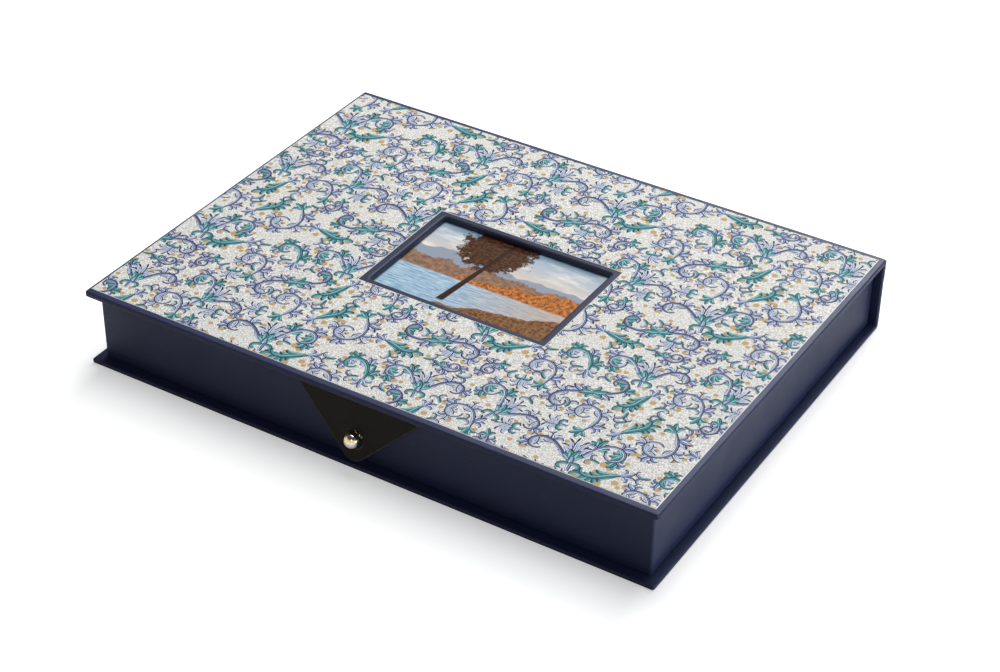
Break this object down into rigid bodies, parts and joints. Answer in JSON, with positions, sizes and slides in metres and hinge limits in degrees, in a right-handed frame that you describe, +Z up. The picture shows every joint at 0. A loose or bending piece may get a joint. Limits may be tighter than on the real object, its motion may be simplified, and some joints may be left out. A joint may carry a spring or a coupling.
{
  "type": "photo storage box",
  "caption": "Low book-style keepsake box: cloth-covered case with a hinged window lid and picture pocket, patterned paper panel, lined tray and a leather flap on a ball stud.",
  "frame": {"origin": "centre of the case's underside, on the surface the box stands on", "axes": "+Z up, +X along the long front from left to right, and the front with its flap faces -Y; the lid's joint runs along X at the back"},
  "size_m": [0.33, 0.2561, 0.0447],
  "materials": {
    "greyboard": "dense grey bookbinding board, hidden under the cloth and the linings",
    "navy_bookcloth": "fine plain-weave bookcloth, dark navy blue, faint sheen",
    "printed_paper": "cream paper with an allover print of acanthus leaves and scrolls in blues, violet and gold",
    "lining_paper": "plain cream lining paper, matt, with faint fibres",
    "dark_leather": "very dark olive-black leather, fine pebbled grain, cut edges rubbed",
    "polished_metal": "polished, nickel-plated",
    "picture_print": null
  },
  "bodies": {
    "case": {"base_board": "greyboard", "base_cloth": "navy_bookcloth", "spine_board": "greyboard", "spine_cloth": "navy_bookcloth", "tray_floor_board": "greyboard", "tray_front_wall": "greyboard", "tray_back_wall": "greyboard", "tray_left_wall": "greyboard", "tray_right_wall": "greyboard", "tray_cloth": "navy_bookcloth", "wall_lining": "lining_paper", "floor_lining": "lining_paper", "hinge_cloth": "navy_bookcloth", "hinge_strip": "navy_bookcloth", "ball_stud": "polished_metal", "stud_screw": "polished_metal"},
    "lid": {"lid_board": "greyboard", "lid_cloth": "navy_bookcloth", "patterned_paper": "printed_paper", "lid_lining": "lining_paper", "pocket_spacer_front": "greyboard", "pocket_spacer_back": "greyboard", "pocket_spacer_left": "greyboard", "pocket_board": "lining_paper", "flap_root": "dark_leather"},
    "picture": {"picture_card": "picture_print"},
    "flap": {"closure_flap": "dark_leather"}
  },
  "joints": [
    {"name": "lid_hinge", "type": "hinge", "parent": "case", "child": "lid", "pos_m": [0, 0.12535, 0.0391], "axis": [-1, 0, 0], "range_deg": [0, 187], "deforming": ["hinge_cloth", "hinge_strip"]},
    {"name": "flap_hinge", "type": "hinge", "parent": "lid", "child": "flap", "pos_m": [0, -0.12005, 0.04005], "axis": [-1, 0, 0], "range_deg": [0, 78]},
    {"name": "picture_slide", "type": "slide", "parent": "lid", "child": "picture", "axis": [1, 0, 0], "range_m": [0, 0.09]}
  ]
}
